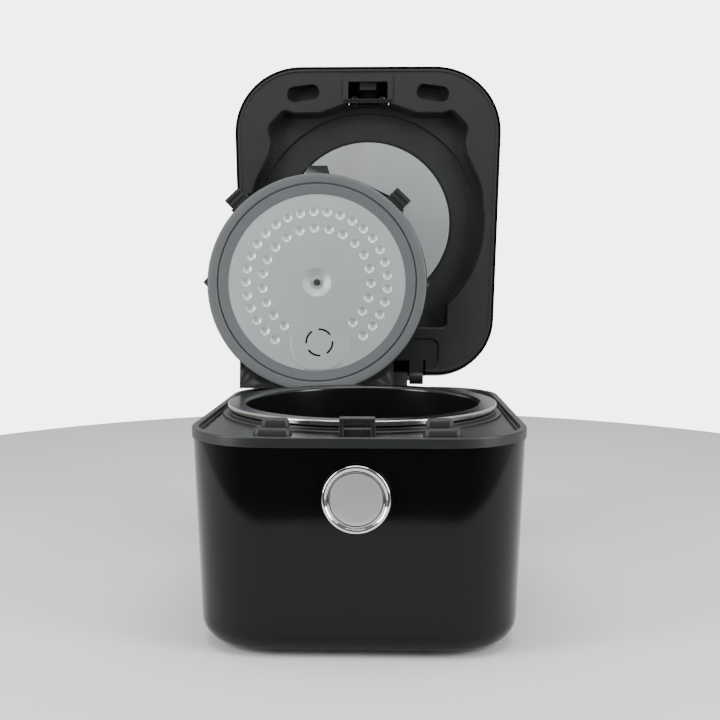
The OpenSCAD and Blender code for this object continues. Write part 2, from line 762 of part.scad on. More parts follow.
module hinge_bracket() color([0.5, 0.5, 0.52]) {
    inner = housing_half + 2;
    difference() {
        union() {
            translate([-inner - knuckle_w, roof_r + 0.5, bracket_z])
                cube([2 * (inner + knuckle_w), cutout_y - roof_r - 1.5, bracket_t]);
            for (s = [-1, 1]) {
                x0 = s > 0 ? inner : -inner - knuckle_w;
                across(x0, x0 + knuckle_w) union() {
                    translate([hinge_y, hinge_z]) circle(barrel_r);
                    polygon([[cutout_y - 6, bracket_z], [cutout_y - 6, hinge_z + barrel_r],
                        [hinge_y, hinge_z + barrel_r], [hinge_y, hinge_z - barrel_r * 0.6],
                        [cutout_y + 2, bracket_z]]);
                }
            }
        }
        translate([0, hinge_y, hinge_z]) along_x(-inner - knuckle_w - 1, inner + knuckle_w + 1, pin_r + running);
        for (x = [-1, 1]) translate([x * 30, cutout_y - 8, bracket_z - 1]) cylinder(r = 1.6, h = 10);
    }
}

module bracket_screws() color([0.7, 0.7, 0.72])
    for (x = [-1, 1]) translate([x * 30, cutout_y - 8, lid_z + 0.9]) {
        cylinder(r = 1.5, h = bracket_z + bracket_t - lid_z - 0.9 + 0.2);
        translate([0, 0, bracket_z + bracket_t - lid_z - 0.9 + 0.1]) cylinder(r = 3, h = 2);
    }

nose_y = striker_y - striker_d / 2 + latch_travel - 0.3;
upright_y = striker_y - slot_d / 2 - 2.2 - latch_travel - 1.5;

module latch_slide() color([0.75, 0.75, 0.76]) {
    translate([-latch_half, upright_y, latch_z]) cube([2 * latch_half, nose_y - upright_y, latch_t]);
    translate([-latch_half, upright_y, latch_z]) cube([2 * latch_half, 2, shelf_z + latch_t - latch_z]);
    translate([-latch_half, upright_y, shelf_z]) cube([2 * latch_half, button_y - 2 - upright_y, latch_t]);
}

module latch_spring() color([0.7, 0.7, 0.7])
    translate([0, front_y + wall, shelf_z - 4]) rotate([-90, 0, 0])
        coil(3, 0.8, upright_y - front_y - wall, 3);

module release_button() color([0.05, 0.05, 0.055]) {
    translate([0, button_y, lid_top - 4]) linear_extrude(4) round_rect(2 * button_half, button_d, 5);
    translate([-latch_half, button_y - 3, shelf_z + latch_t + button_press + 0.2])
        cube([2 * latch_half, 6, lid_top - 4 - shelf_z - latch_t - button_press - 0.2 + tiny]);
}

module button_spring() color([0.7, 0.7, 0.7])
    for (s = [-1, 1]) translate([s * 15, button_y, striker_top + 4 + 2.2])
        coil(3, 0.7, lid_top - 4 - striker_top - 4 - 2.2, 6);

module steam_pipe() color([0.12, 0.12, 0.12])
    translate([0, steam_y, 0]) {
        ring_at(steam_r - 4, steam_r - 6, recess_z - 1, lid_top - 9);
        ring_at(steam_r + 6, steam_r - 6, lid_top - 9, lid_top - 7);
        ring_at(steam_r + 6, steam_r + 4, lid_top - 9, lid_top - wall - air);
    }

module steam_cap() color([0.06, 0.06, 0.06])
    translate([0, steam_y, 0]) difference() {
        union() {
            translate([0, 0, lid_top - wall + 0.2]) cylinder(r = steam_r + 6, h = wall + 1.5);
            ring_at(steam_r + 3, steam_r + 1, lid_top - 6.5, lid_top - wall + 0.3);
        }
        for (a = [0 : 60 : 300]) rotate(a) translate([12, 0, lid_top - 8]) linear_extrude(20) slot2d(10, 3);
    }

// ---- inner lid ----

module inner_frame() color([0.12, 0.12, 0.125]) {
    difference() {
        union() {
            ring_at(gasket_r + 0.8, frame_in_r, frame_z, inner_top);
            // tab at the front
            translate([0, -gasket_r, frame_z]) linear_extrude(inner_top - frame_z - 1)
                polygon([[-14, 4], [14, 4], [10.4, -9], [-10.4, -9]]);
            // pointed nibs at the sides
            for (s = [-1, 1]) translate([s * gasket_r, 0, frame_z]) linear_extrude(4)
                polygon([[-s * 3, -9], [s * 5.2, 0], [-s * 3, 9]]);
            // wide bracket towards the hinge
            translate([0, 0, inner_top - 5]) linear_extrude(5) difference() {
                translate([-81.5, 70]) square([163, 42.5]);
                circle(frame_in_r + 1);
            }
            // the block that each catch slides in
            for (s = [-1, 1]) rotate(s * catch_a) translate([-catch_w / 2 - 2, -gasket_r - 3.5, frame_z])
                cube([catch_w + 4, 8, inner_top - frame_z]);
        }
        for (s = [-1, 1]) rotate(s * catch_a) translate([-catch_w / 2 - fit, -gasket_r - 10, frame_z - 1])
            cube([catch_w + 2 * fit, 10 + gasket_r - catch_r + 2 + catch_travel + 4, inner_top - frame_z - 0.6]);
        ring_at(gasket_r - 6 + fit, gasket_r - 9 - fit, frame_z - tiny, frame_z + 2.6);
    }
}

// The dowel that stands for the hand which carries the inner lid
module carry_pin() color([0.7, 0.7, 0.72])
    translate(carry_at + [-stand_left, tip_rest_y - tip_y, tip_rest_z - tip_z])
        along_x(-carry_l / 2, carry_l / 2, carry_r);

module inner_gasket() color([0.42, 0.44, 0.45])
    translate([0, 0, seat_z]) rotate_extrude() difference() {
        union() {
            translate([plate_r - 1, 0.6]) square([gasket_r - plate_r + 1, 3.7 - tiny]);
            translate([gasket_r - 10.5, 0]) square([8, 1]);
            translate([gasket_r - 9, 4]) square([3, 2.6]);
        }
        translate([plate_r - 2, 2.6 - fit]) square([3.2, plate_t + 2 * fit]);
        translate([gasket_r - 11.5, -1]) square([1.2, 2.8]);
    }

module inner_plate() color([0.8, 0.81, 0.82]) {
    difference() {
        union() {
            translate([0, 0, plate_z]) cylinder(r = plate_r + 1, h = plate_t);
            // boss for the float pin
            translate([0, 0, plate_z]) cylinder(r = 7, h = 5);
        }
        translate([0, 0, plate_z - 1]) cylinder(r = 3.4, h = 10);
        rotate(-plate_turn) translate([0, vent_out, plate_z - 1]) for (a = [0 : 90 : 270]) rotate(a) vent_slot();
    }
}

module vent_slot() {
    rotate(-31) rotate_extrude(angle = 62) translate([vent_r - 1, 0]) square([2, 4]);
}

module vent_seal() color([0.5, 0.5, 0.5])
    rotate(-plate_turn) translate([0, vent_out, 0])
        ring_at(vent_r + 6, vent_r + 2, plate_z + plate_t, recess_z - 1 - air);

module float_pin() color([0.1, 0.1, 0.1]) {
    translate([0, 0, plate_z - 0.4]) cylinder(r = 3.3, h = 6.4);
    translate([0, 0, plate_z + 6]) cylinder(r = 5, h = 1.5);
}

module catch_shape(side) {
    rotate(side * catch_a) {
        translate([-catch_w / 2, -catch_r - catch_l + 4, frame_z + 0.3])
            cube([catch_w, catch_l - 4, inner_top - frame_z - 2.2]);
        for (i = [0, 1]) translate([-catch_w / 2, -catch_r - 10 - 6 * i, frame_z - 1.2])
            cube([catch_w, 2.6, 1.6]);
    }
}

module left_catch() color([0.1, 0.1, 0.105]) catch_shape(-1);

module right_catch() color([0.1, 0.1, 0.105]) catch_shape(1);

module catch_springs() color([0.7, 0.7, 0.7])
    for (s = [-1, 1]) rotate(s * catch_a) translate([0, -catch_r + fit, (frame_z + inner_top) / 2 + 0.25])
        rotate([-90, 0, 0]) coil(1.4, 0.5, catch_travel + 6 - 2 * fit, 5);

outer_body();
base_plate();
feet();
base_screws();
deck();
pot_well();
heating_plate();
heater_posts();
sensor_tube();
sensor_spring();
sensor_cap();
power_board();
power_parts();
control_board();
push_switch();
encoder();
dial_seat();
dial_ring();
dial_button();
inlet_socket();
inlet_pins();
striker();
lid_stops();
stop_caps();
hinge_housing();
hinge_pin();
lid_springs();
pot();
opened() lid_cover();
opened() lid_liner();
opened() lid_disc();
opened() disc_screws();
opened() hinge_bracket();
opened() bracket_screws();
opened() latch_slide();
opened() latch_spring();
opened() release_button();
opened() button_spring();
opened() steam_pipe();
opened() steam_cap();
removed() inner_frame();
removed() inner_gasket();
removed() inner_plate();
removed() vent_seal();
removed() float_pin();
removed() left_catch();
removed() right_catch();
removed() catch_springs();
carry_pin();
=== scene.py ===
"""Looks of an electric pressure cooker with its lid open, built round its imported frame.

Sizes are in millimetres in the classes and in metres on the pieces. Lid pieces are shaped closed over the
pot and then laid open about the hinge pin; the inner lid is shaped in its seat and then stood behind the pot.
"""

import json
import logging
import math
from collections.abc import Callable, Iterable, Sequence
from dataclasses import dataclass
from enum import Enum

import bmesh
import bpy
from mathutils import Matrix, Vector

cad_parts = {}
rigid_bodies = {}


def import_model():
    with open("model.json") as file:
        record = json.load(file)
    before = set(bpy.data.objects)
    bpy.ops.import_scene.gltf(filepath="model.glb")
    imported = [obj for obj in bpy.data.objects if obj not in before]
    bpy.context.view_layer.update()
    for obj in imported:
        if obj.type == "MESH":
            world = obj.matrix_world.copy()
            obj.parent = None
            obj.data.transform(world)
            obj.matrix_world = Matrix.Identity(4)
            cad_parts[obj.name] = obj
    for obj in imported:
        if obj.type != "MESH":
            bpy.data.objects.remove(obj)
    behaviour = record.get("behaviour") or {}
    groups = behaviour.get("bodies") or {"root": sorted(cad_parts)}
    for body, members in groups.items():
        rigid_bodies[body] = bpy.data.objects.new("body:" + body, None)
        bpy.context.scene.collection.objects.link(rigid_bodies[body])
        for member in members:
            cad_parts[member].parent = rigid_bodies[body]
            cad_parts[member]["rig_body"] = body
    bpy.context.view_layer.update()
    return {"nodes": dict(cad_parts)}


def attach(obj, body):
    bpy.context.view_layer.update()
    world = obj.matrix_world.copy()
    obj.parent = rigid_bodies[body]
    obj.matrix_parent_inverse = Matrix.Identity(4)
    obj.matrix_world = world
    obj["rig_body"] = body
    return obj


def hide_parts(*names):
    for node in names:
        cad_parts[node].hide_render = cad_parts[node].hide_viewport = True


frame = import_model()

LOG = logging.getLogger("cooker")
MM = 0.001
Colour = tuple[float, float, float]
Step = tuple[float, float]


class Kind(Enum):
    """What is picked in edit mode."""

    VERT = "VERT"
    EDGE = "EDGE"
    FACE = "FACE"


class Place(Enum):
    """Where a finished piece is laid."""

    STANDING = "standing"
    OPENED = "opened"
    REMOVED = "removed"


@dataclass(frozen=True)
class Corner:
    """A corner of an outline or of a turned section, in millimetres, with its rounding."""

    x: float
    y: float
    radius: float = 0.0


@dataclass(frozen=True)
class Hinge:
    """The lid's hinge line and the two places that are laid from it."""

    y: float = 171.5
    z: float = 198.0
    open_deg: float = 98.9
    aside: tuple[float, float, float] = (-52.4, 72.0, -42.0)

    def matrix(self, place: Place) -> Matrix:
        """Turns a place into a matrix.

        Args:
            place: where the piece goes.

        Returns:
            The matrix that takes a piece from where it was shaped to that place.
        """
        if place is Place.STANDING:
            return Matrix.Identity(4)
        pin = Matrix.Translation((0, self.y * MM, self.z * MM))
        laid = pin @ Matrix.Rotation(math.radians(-self.open_deg), 4, "X") @ pin.inverted()
        if place is Place.REMOVED:
            laid = laid @ Matrix.Translation(Vector(self.aside) * MM)
        return laid


HINGE = Hinge()


# ---- the bench: one tool a function ----


def clear_bench() -> None:
    """Leaves edit mode and deselects everything."""
    if bpy.context.object and bpy.context.object.mode != "OBJECT":
        bpy.ops.object.mode_set(mode="OBJECT")
    bpy.ops.object.select_all(action="DESELECT")


def take(piece: bpy.types.Object) -> None:
    """Makes one piece the selected and active one."""
    clear_bench()
    piece.select_set(True)
    bpy.context.view_layer.objects.active = piece


def edit(piece: bpy.types.Object) -> None:
    """Takes a piece into edit mode with all of it selected."""
    take(piece)
    bpy.ops.object.mode_set(mode="EDIT")
    bpy.ops.mesh.select_all(action="SELECT")


def pick(piece: bpy.types.Object, kind: Kind, test: Callable) -> int:
    """Selects the parts of a mesh in edit mode that pass a test.

    Args:
        piece: the piece in edit mode.
        kind: what is picked.
        test: says whether a part is picked.

    Returns:
        How many parts were picked.
    """
    bpy.ops.mesh.select_mode(type=kind.value)
    bpy.ops.mesh.select_all(action="DESELECT")
    mesh = bmesh.from_edit_mesh(piece.data)
    parts = {Kind.VERT: mesh.verts, Kind.EDGE: mesh.edges, Kind.FACE: mesh.faces}[kind]
    picked = [part for part in parts if test(part)]
    for part in picked:
        part.select_set(True)
    bmesh.update_edit_mesh(piece.data)
    return len(picked)


def outward(piece: bpy.types.Object) -> None:
    """Merges doubles and turns every face of a closed piece outwards."""
    edit(piece)
    bpy.ops.mesh.remove_doubles(threshold=0.000002)
    bpy.ops.mesh.normals_make_consistent(inside=False)
    clear_bench()


def use_modifier(piece: bpy.types.Object, kind: str, **settings: object) -> None:
    """Adds a modifier and applies it.

    Args:
        piece: the piece it works on.
        kind: the modifier's type.
        settings: what is set on it.
    """
    take(piece)
    modifier = piece.modifiers.new(kind.title(), kind)
    for name, value in settings.items():
        setattr(modifier, name, value)
    bpy.ops.object.modifier_apply(modifier=modifier.name)


def soften(piece: bpy.types.Object, width: float, segments: int = 2, angle: float = 32.0) -> None:
    """Rounds the sharp edges of a piece.

    Args:
        piece: the piece.
        width: width of the rounding.
        segments: how many faces it is made of.
        angle: edges sharper than this are rounded.
    """
    use_modifier(piece, "BEVEL", width=width * MM, segments=segments, limit_method="ANGLE",
                 angle_limit=math.radians(angle), use_clamp_overlap=True)


def carve(piece: bpy.types.Object, *cutters: bpy.types.Object, add: bool = False) -> None:
    """Cuts other shapes out of a piece, or adds them to it, and takes them away.

    Args:
        piece: the piece.
        cutters: the shapes, which are used up.
        add: adds them in place of cutting.
    """
    for cutter in cutters:
        use_modifier(piece, "BOOLEAN", operation="UNION" if add else "DIFFERENCE", solver="EXACT",
                     object=cutter)
        bpy.data.objects.remove(cutter)


def joined(name: str, parts: Sequence[bpy.types.Object]) -> bpy.types.Object:
    """Joins shapes into one piece.

    Args:
        name: the piece's name.
        parts: the shapes.

    Returns:
        The piece.
    """
    clear_bench()
    for part in parts:
        part.select_set(True)
    bpy.context.view_layer.objects.active = parts[0]
    bpy.ops.object.join()
    parts[0].name = name
    return parts[0]


def settle(piece: bpy.types.Object, matrix: Matrix) -> bpy.types.Object:
    """Puts a piece's place into its mesh."""
    take(piece)
    piece.matrix_world = matrix @ piece.matrix_world
    bpy.ops.object.transform_apply(location=True, rotation=True, scale=True)
    return piece


def moved(piece: bpy.types.Object, x: float = 0, y: float = 0, z: float = 0, turn: float = 0) -> bpy.types.Object:
    """Turns a piece about the upright axis by degrees, then moves it by millimetres."""
    return settle(piece, Matrix.Translation(Vector((x, y, z)) * MM) @ Matrix.Rotation(math.radians(turn), 4, "Z"))


def round_corners(piece: bpy.types.Object, corners: Sequence[Corner], segments: int) -> None:
    """Rounds the corners of a flat face, each by its own radius.

    Args:
        piece: the face, in edit mode.
        corners: its corners in order.
        segments: faces in each rounding.
    """
    count = len(corners)
    for index, corner in enumerate(corners):
        if corner.radius <= 0:
            continue
        here = Vector((corner.x, corner.y))
        before = Vector((corners[index - 1].x, corners[index - 1].y)) - here
        after = Vector((corners[(index + 1) % count].x, corners[(index + 1) % count].y)) - here
        tangent = corner.radius / math.tan(before.angle(after) / 2)
        tangent = min(tangent, 0.49 * before.length, 0.49 * after.length) if corner.radius < 40 else tangent
        spot = here.to_3d() * MM
        if pick(piece, Kind.VERT, lambda vert: (vert.co - spot).length < 0.000002):
            bpy.ops.mesh.bevel(offset=tangent * MM, offset_type="OFFSET", segments=segments, profile=0.5,
                               affect="VERTICES")


def rounded_face(name: str, corners: Sequence[Corner], segments: int = 8) -> bpy.types.Object:
    """Draws a flat face with rounded corners on the ground plane.

    Args:
        name: the piece's name.
        corners: its corners, anticlockwise seen from above.
        segments: faces in each rounding.

    Returns:
        The face, facing up.
    """
    clear_bench()
    bpy.ops.mesh.primitive_circle_add(vertices=len(corners), radius=MM, fill_type="NGON")
    piece = bpy.context.object
    piece.name = name
    for index, corner in zip(piece.data.polygons[0].vertices, corners):
        piece.data.vertices[index].co = (corner.x * MM, corner.y * MM, 0)
    edit(piece)
    round_corners(piece, corners, segments)
    clear_bench()
    return piece


def climb(piece: bpy.types.Object, steps: Iterable[Step], z: float = 0, down: bool = False) -> bpy.types.Object:
    """Raises a flat face into a closed form, one step of inset and rise at a time.

    Args:
        piece: the flat face.
        steps: inset and rise of each step.
        z: height of the first face.
        down: grows the form downwards.

    Returns:
        The closed form, its faces outwards.
    """
    edit(piece)
    if down:
        bpy.ops.mesh.flip_normals()
    sign = -1 if down else 1
    for inset, rise in steps:
        if abs(inset) < 0.0001:
            bpy.ops.mesh.extrude_region_move(TRANSFORM_OT_translate={"value": (0, 0, sign * rise * MM)})
        else:
            bpy.ops.mesh.inset(thickness=abs(inset) * MM, depth=rise * MM, use_outset=inset < 0,
                               use_even_offset=True, use_boundary=True)
    clear_bench()
    moved(piece, z=z)
    outward(piece)
    return piece


def arc(radius: float, count: int, over: bool = False, hollow: bool = False) -> list[Step]:
    """Steps that round an edge.

    Args:
        radius: radius of the rounding.
        count: how many steps.
        over: from level to falling, in place of from rising to level.
        hollow: from falling to level, as in the foot of a sunk floor.

    Returns:
        The steps.
    """
    steps = []
    for index in range(count):
        a, b = (math.pi / 2 * (index + k) / count for k in (0, 1))
        side, rise = math.cos(a) - math.cos(b), math.sin(b) - math.sin(a)
        if over:
            steps.append((radius * rise, -radius * side))
        else:
            steps.append((radius * side, -radius * rise if hollow else radius * rise))
    return steps


def lathe(name: str, section: Sequence[Corner], turns: int = 96, segments: int = 4,
          sweep: float = 360.0) -> bpy.types.Object:
    """Turns a section about the upright axis.

    Args:
        name: the piece's name.
        section: its corners, x being the radius and y the height.
        turns: faces round the piece.
        segments: faces in each rounding of the section.
        sweep: how far it is turned, in degrees.

    Returns:
        The closed piece.
    """
    piece = rounded_face(name, section, segments)
    settle(piece, Matrix.Rotation(math.pi / 2, 4, "X"))
    edit(piece)
    if sweep >= 360:
        bpy.ops.mesh.delete(type="ONLY_FACE")
        if pick(piece, Kind.EDGE, lambda edge: all(vert.co.x < 0.000001 for vert in edge.verts)):
            bpy.ops.mesh.delete(type="EDGE")
    bpy.ops.mesh.select_all(action="SELECT")
    bpy.ops.mesh.spin(steps=turns, angle=math.radians(sweep), center=(0, 0, 0), axis=(0, 0, 1))
    clear_bench()
    outward(piece)
    return piece


def block(name: str, low: tuple[float, float, float], high: tuple[float, float, float]) -> bpy.types.Object:
    """A square-edged block between two corners, to be shaped further."""
    clear_bench()
    bpy.ops.mesh.primitive_cube_add(size=1)
    piece = bpy.context.object
    piece.name = name
    piece.scale = [(b - a) * MM for a, b in zip(low, high)]
    piece.location = [(a + b) / 2 * MM for a, b in zip(low, high)]
    bpy.ops.object.transform_apply(location=True, rotation=True, scale=True)
    return piece


def rod(name: str, radius: float, low: float, high: float, x: float = 0, y: float = 0,
        turns: int = 64) -> bpy.types.Object:
    """An upright round cutter."""
    clear_bench()
    bpy.ops.mesh.primitive_cylinder_add(vertices=turns, radius=radius * MM, depth=(high - low) * MM,
                                        location=(x * MM, y * MM, (low + high) / 2 * MM))
    piece = bpy.context.object
    piece.name = name
    bpy.ops.object.transform_apply(location=True, rotation=True, scale=True)
    return piece


def oblong(width: float, depth: float, radius: float) -> list[Corner]:
    """Corners of a rounded oblong about the origin."""
    x, y = width / 2, depth / 2
    return [Corner(-x, -y, radius), Corner(x, -y, radius), Corner(x, y, radius), Corner(-x, y, radius)]


# ---- finishes ----


@dataclass(frozen=True)
class Finish:
    """A moulded or metal finish: tone, gloss, fine grain and a little wear, all from nodes."""

    name: str
    slot: str
    base: Colour
    roughness: float
    metallic: float = 0.0
    level: float = 0.5
    coat: float = 0.0
    tone_scale: float = 30.0
    tone_spread: float = 0.12
    rough_spread: float = 0.05
    grain_scale: float = 900.0
    grain_height: float = 0.02

    def material(self) -> bpy.types.Material:
        """Builds the finish once and gives it back each time after."""
        known = bpy.data.materials.get(self.name)
        if known:
            return known
        material = bpy.data.materials.new(self.name)
        material.use_nodes = True
        nodes, links = material.node_tree.nodes, material.node_tree.links
        shader = nodes["Principled BSDF"]
        shader.inputs["Metallic"].default_value = self.metallic
        shader.inputs["Specular IOR Level"].default_value = self.level
        shader.inputs["Coat Weight"].default_value = self.coat
        shader.inputs["Coat Roughness"].default_value = 0.04
        shader.inputs["Base Color"].default_value = (*self.base, 1)
        place = nodes.new("ShaderNodeTexCoord").outputs["Object"]
        tone = self.noise(nodes, links, place, self.tone_scale, 4.0)
        mix = nodes.new("ShaderNodeMix")
        mix.data_type = "RGBA"
        mix.inputs["A"].default_value = (*[c * (1 - self.tone_spread) for c in self.base], 1)
        mix.inputs["B"].default_value = (*[min(1.0, c * (1 + self.tone_spread)) for c in self.base], 1)
        links.new(tone, mix.inputs["Factor"])
        links.new(self.colour(nodes, links, place, mix.outputs["Result"]), shader.inputs["Base Color"])
        rough = nodes.new("ShaderNodeMapRange")
        rough.inputs["To Min"].default_value = max(0.01, self.roughness - self.rough_spread)
        rough.inputs["To Max"].default_value = self.roughness + self.rough_spread
        links.new(self.noise(nodes, links, place, self.tone_scale * 2.3, 5.0), rough.inputs["Value"])
        links.new(rough.outputs["Result"], shader.inputs["Roughness"])
        bump = nodes.new("ShaderNodeBump")
        bump.inputs["Strength"].default_value = 0.5
        bump.inputs["Distance"].default_value = self.grain_height * MM
        links.new(self.relief(nodes, links, place), bump.inputs["Height"])
        links.new(bump.outputs["Normal"], shader.inputs["Normal"])
        self.extras(nodes, links, shader)
        return material

    @staticmethod
    def noise(nodes: bpy.types.Nodes, links: bpy.types.NodeLinks, place: bpy.types.NodeSocket, scale: float,
              detail: float) -> bpy.types.NodeSocket:
        """A noise over the piece's own coordinates."""
        noise = nodes.new("ShaderNodeTexNoise")
        noise.inputs["Scale"].default_value = scale
        noise.inputs["Detail"].default_value = detail
        links.new(place, noise.inputs["Vector"])
        return noise.outputs["Fac"]

    def colour(self, nodes: bpy.types.Nodes, links: bpy.types.NodeLinks, place: bpy.types.NodeSocket,
               tone: bpy.types.NodeSocket) -> bpy.types.NodeSocket:
        """The colour that reaches the shader; plain finishes keep the toned base."""
        return tone

    def relief(self, nodes: bpy.types.Nodes, links: bpy.types.NodeLinks,
               place: bpy.types.NodeSocket) -> bpy.types.NodeSocket:
        """The height of the fine grain."""
        return self.noise(nodes, links, place, self.grain_scale, 3.0)

    def extras(self, nodes: bpy.types.Nodes, links: bpy.types.NodeLinks, shader: bpy.types.Node) -> None:
        """Settings that only some finishes need."""


@dataclass(frozen=True)
class SpunMetal(Finish):
    """Metal turned on a lathe: fine rings round a centre, with light that fans out from it."""

    centre: tuple[float, float, float] = (0, 0, 0)
    rings: float = 900.0
    anisotropy: float = 0.75

    def relief(self, nodes: bpy.types.Nodes, links: bpy.types.NodeLinks,
               place: bpy.types.NodeSocket) -> bpy.types.NodeSocket:
        """Rings of uneven height round the centre."""
        centred = nodes.new("ShaderNodeMapping")
        centred.inputs["Location"].default_value = [-c * MM for c in self.centre]
        links.new(place, centred.inputs["Vector"])
        radius = nodes.new("ShaderNodeVectorMath")
        radius.operation = "LENGTH"
        links.new(centred.outputs["Vector"], radius.inputs[0])
        ring = nodes.new("ShaderNodeTexNoise")
        ring.noise_dimensions = "1D"
        ring.inputs["Scale"].default_value = self.rings * 6
        ring.inputs["Detail"].default_value = 4.0
        links.new(radius.outputs["Value"], ring.inputs["W"])
        return ring.outputs["Fac"]

    def extras(self, nodes: bpy.types.Nodes, links: bpy.types.NodeLinks, shader: bpy.types.Node) -> None:
        """Stretches the gloss across the rings."""
        shader.inputs["Anisotropic"].default_value = self.anisotropy


@dataclass(frozen=True)
class Speckled(Finish):
    """A sprayed coating with a scatter of paler flecks."""

    fleck: Colour = (0.12, 0.12, 0.13)
    fleck_scale: float = 700.0

    def colour(self, nodes: bpy.types.Nodes, links: bpy.types.NodeLinks, place: bpy.types.NodeSocket,
               tone: bpy.types.NodeSocket) -> bpy.types.NodeSocket:
        """Adds the flecks to the base."""
        cells = nodes.new("ShaderNodeTexVoronoi")
        cells.inputs["Scale"].default_value = self.fleck_scale
        links.new(place, cells.inputs["Vector"])
        dot = nodes.new("ShaderNodeMapRange")
        dot.inputs["From Min"].default_value = 0.16
        dot.inputs["From Max"].default_value = 0.1
        links.new(cells.outputs["Distance"], dot.inputs["Value"])
        mix = nodes.new("ShaderNodeMix")
        mix.data_type = "RGBA"
        mix.inputs["B"].default_value = (*self.fleck, 1)
        links.new(dot.outputs["Result"], mix.inputs["Factor"])
        links.new(tone, mix.inputs["A"])
        return mix.outputs["Result"]


@dataclass(frozen=True)
class Smudged(Finish):
    """Plain sheet metal with faint warm stains left by cooking."""

    stain: Colour = (0.3, 0.27, 0.22)
    stain_scale: float = 14.0

    def colour(self, nodes: bpy.types.Nodes, links: bpy.types.NodeLinks, place: bpy.types.NodeSocket,
               tone: bpy.types.NodeSocket) -> bpy.types.NodeSocket:
        """Lays the stains over the base."""
        spread = nodes.new("ShaderNodeMapRange")
        spread.inputs["From Min"].default_value = 0.58
        spread.inputs["From Max"].default_value = 0.85
        spread.inputs["To Max"].default_value = 0.5
        links.new(self.noise(nodes, links, place, self.stain_scale, 6.0), spread.inputs["Value"])
        mix = nodes.new("ShaderNodeMix")
        mix.data_type = "RGBA"
        mix.inputs["B"].default_value = (*self.stain, 1)
        links.new(spread.outputs["Result"], mix.inputs["Factor"])
        links.new(tone, mix.inputs["A"])
        return mix.outputs["Result"]


GLOSS_BLACK = Finish("gloss_black", "black_gloss", (0.003, 0.0032, 0.0035), 0.09, level=0.22, tone_scale=18,
                     rough_spread=0.02, grain_height=0.001)
SATIN_BLACK = Finish("satin_black", "black_satin", (0.017, 0.0185, 0.019), 0.4, grain_height=0.02)
FINE_BLACK = Finish("fine_black", "black_fine", (0.013, 0.0142, 0.0146), 0.46, grain_scale=1400, grain_height=0.03)
STOP_RUBBER = Finish("stop_rubber", "black_fine", (0.016, 0.017, 0.018), 0.5, grain_scale=700, grain_height=0.04)
FOOT_RUBBER = Finish("foot_rubber", "rubber_black", (0.02, 0.02, 0.021), 0.7, grain_scale=600, grain_height=0.06)
GASKET = Finish("gasket_rubber", "gasket_grey", (0.115, 0.124, 0.127), 0.42, tone_scale=22, tone_spread=0.06,
                grain_scale=500, grain_height=0.025)
PLATE = Finish("plate_metal", "sheet_metal", (0.6, 0.635, 0.645), 0.4, metallic=0.55, tone_scale=16, tone_spread=0.04,
               grain_scale=1600, grain_height=0.012)
DISC = Smudged("disc_metal", "sheet_metal", (0.47, 0.495, 0.505), 0.42, metallic=0.55, tone_scale=12, tone_spread=0.05,
               grain_scale=1600, grain_height=0.012)
NONSTICK = Speckled("pot_coating", "nonstick", (0.006, 0.0062, 0.0066), 0.2, rough_spread=0.04, grain_scale=1200,
                    grain_height=0.012, fleck=(0.02, 0.02, 0.021))
BRIGHT_EDGE = Finish("pot_bright_edge", "nonstick", (0.66, 0.64, 0.59), 0.2, metallic=1.0, tone_scale=60,
                     tone_spread=0.06, grain_height=0.006)
CHROME = Finish("ring_chrome", "chrome_ring", (0.8, 0.81, 0.82), 0.06, metallic=1.0, tone_scale=40, tone_spread=0.02,
                rough_spread=0.02, grain_height=0.002)
SPUN_FACE = SpunMetal("button_spun", "brushed_face", (0.56, 0.555, 0.53), 0.34, metallic=0.45, tone_scale=50,
                      tone_spread=0.04, grain_height=0.012, centre=(0, -172.6, 138.8))
DARK_STEEL = Finish("dark_steel", "steel", (0.03, 0.03, 0.031), 0.45, metallic=0.6, grain_height=0.01)
STEEL = Finish("plain_steel", "steel", (0.5, 0.51, 0.52), 0.32, metallic=1.0, tone_scale=80, grain_height=0.01)
CAST = Finish("cast_aluminium", "cast_metal", (0.45, 0.45, 0.45), 0.5, metallic=1.0, grain_scale=400, grain_height=0.08)
WELL = SpunMetal("well_aluminium", "sheet_metal", (0.5, 0.51, 0.52), 0.38, metallic=1.0, grain_height=0.01)
BOARD = Finish("board_green", "board_green", (0.012, 0.07, 0.03), 0.35, tone_scale=260, tone_spread=0.35)
BRASS = Finish("contact_brass", "contact_brass", (0.62, 0.46, 0.2), 0.28, metallic=1.0, tone_scale=120)


def dress(piece: bpy.types.Object, finish: Finish, body: str, *nodes: str, place: Place = Place.STANDING,
          smooth: float = 34.0) -> bpy.types.Object:
    """Lays a finished piece in its place, gives it its finish and lets it ride.

    Args:
        piece: the piece.
        finish: its finish.
        body: the body it moves with.
        nodes: the frame's nodes it stands for.
        place: where it is laid.
        smooth: edges flatter than this are shaded smooth.

    Returns:
        The piece.
    """
    settle(piece, HINGE.matrix(place))
    take(piece)
    bpy.ops.object.shade_smooth_by_angle(angle=math.radians(smooth))
    use_modifier(piece, "WEIGHTED_NORMAL", keep_sharp=True, weight=80)
    if not piece.data.materials:
        piece.data.materials.append(finish.material())
    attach(piece, body)
    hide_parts(*nodes)
    LOG.info("%s: %d faces on %s", piece.name, len(piece.data.polygons), body)
    return piece


